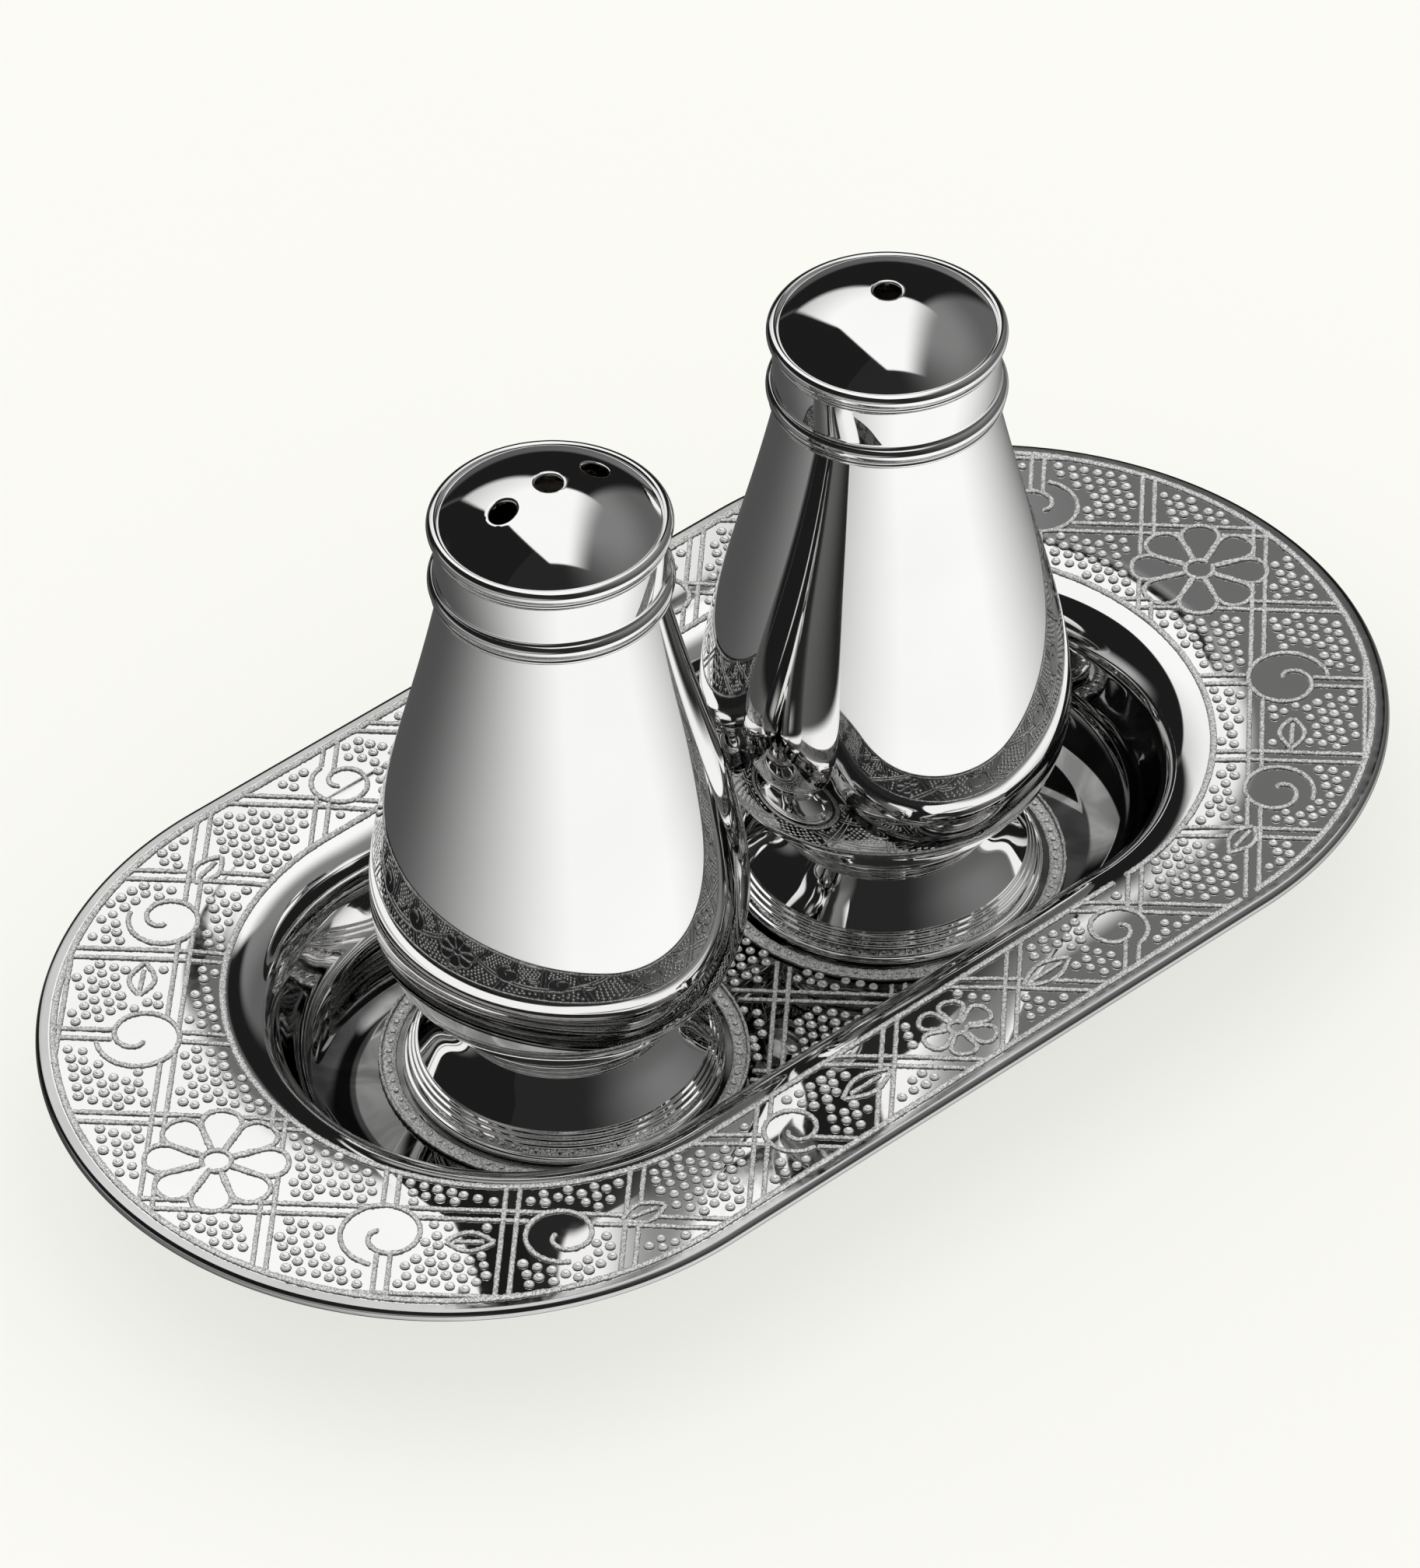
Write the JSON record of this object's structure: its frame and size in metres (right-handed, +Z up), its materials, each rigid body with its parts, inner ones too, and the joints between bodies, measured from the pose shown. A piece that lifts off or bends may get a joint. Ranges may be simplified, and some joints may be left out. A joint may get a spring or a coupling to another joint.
{
  "type": "salt and pepper shaker set",
  "caption": "Polished silver salt and pepper shakers with pierced screw-off domed caps, standing in the well of a matching long tray with an ornamented border.",
  "frame": {"origin": "centre of the plane the tray stands on", "axes": "+Z up, +X along the tray's long axis from the pepper shaker towards the salt shaker"},
  "size_m": [0.1572, 0.0844, 0.0773],
  "materials": {
    "tray_silver": "mirror-polished silver plate with fine-grained engraved ornament",
    "wire_silver": "mirror-polished silver plate",
    "body_silver": "mirror-polished silver plate",
    "dome_silver": "mirror-polished silver plate",
    "turned_silver": "polished silver plate on turned rings",
    "disc_silver": "satin silver plate with spinning marks",
    "thread_brass": "machined brass",
    "seal_rubber": "soft off-white silicone"
  },
  "bodies": {
    "tray": {"tray_plate": "tray_silver", "tray_edge_wire": "wire_silver"},
    "pepper_shaker": {"pepper_foot_base_disc": "disc_silver", "pepper_foot_base_ring": "turned_silver", "pepper_foot_flare": "turned_silver", "pepper_knop_rings": "turned_silver", "pepper_body_shell": "body_silver", "pepper_neck_collar": "turned_silver", "pepper_neck_thread_ring": "thread_brass"},
    "pepper_seal": {"pepper_cap_seal": "seal_rubber"},
    "pepper_cap": {"pepper_cap_thread_ring": "thread_brass", "pepper_cap_lower_bead": "turned_silver", "pepper_cap_band": "turned_silver", "pepper_cap_top_bead": "turned_silver", "pepper_cap_dome": "dome_silver"},
    "salt_shaker": {"salt_foot_base_disc": "disc_silver", "salt_foot_base_ring": "turned_silver", "salt_foot_flare": "turned_silver", "salt_knop_rings": "turned_silver", "salt_body_shell": "body_silver", "salt_neck_collar": "turned_silver", "salt_neck_thread_ring": "thread_brass"},
    "salt_seal": {"salt_cap_seal": "seal_rubber"},
    "salt_cap": {"salt_cap_thread_ring": "thread_brass", "salt_cap_lower_bead": "turned_silver", "salt_cap_band": "turned_silver", "salt_cap_top_bead": "turned_silver", "salt_cap_dome": "dome_silver"}
  },
  "joints": [
    {"name": "pepper_lift", "type": "slide", "parent": "tray", "child": "pepper_shaker", "axis": [0, 0, 1], "range_m": [0, 0.06]},
    {"name": "pepper_cap_rise", "type": "slide", "parent": "pepper_shaker", "child": "pepper_seal", "axis": [0, 0, 1], "range_m": [0, 0.0071]},
    {"name": "pepper_cap_turn", "type": "hinge", "parent": "pepper_seal", "child": "pepper_cap", "pos_m": [-0.0222, 0, 0.066], "axis": [0, 0, 1], "range_deg": [0, 1260]},
    {"name": "salt_lift", "type": "slide", "parent": "tray", "child": "salt_shaker", "axis": [0, 0, 1], "range_m": [0, 0.06]},
    {"name": "salt_cap_rise", "type": "slide", "parent": "salt_shaker", "child": "salt_seal", "axis": [0, 0, 1], "range_m": [0, 0.0071]},
    {"name": "salt_cap_turn", "type": "hinge", "parent": "salt_seal", "child": "salt_cap", "pos_m": [0.0222, 0, 0.066], "axis": [0, 0, 1], "range_deg": [0, 1260]}
  ],
  "couplings": [
    {"joint": "pepper_cap_rise", "follows": "pepper_cap_turn", "m_per_rad": 0.00031831},
    {"joint": "salt_cap_rise", "follows": "salt_cap_turn", "m_per_rad": 0.00031831}
  ]
}
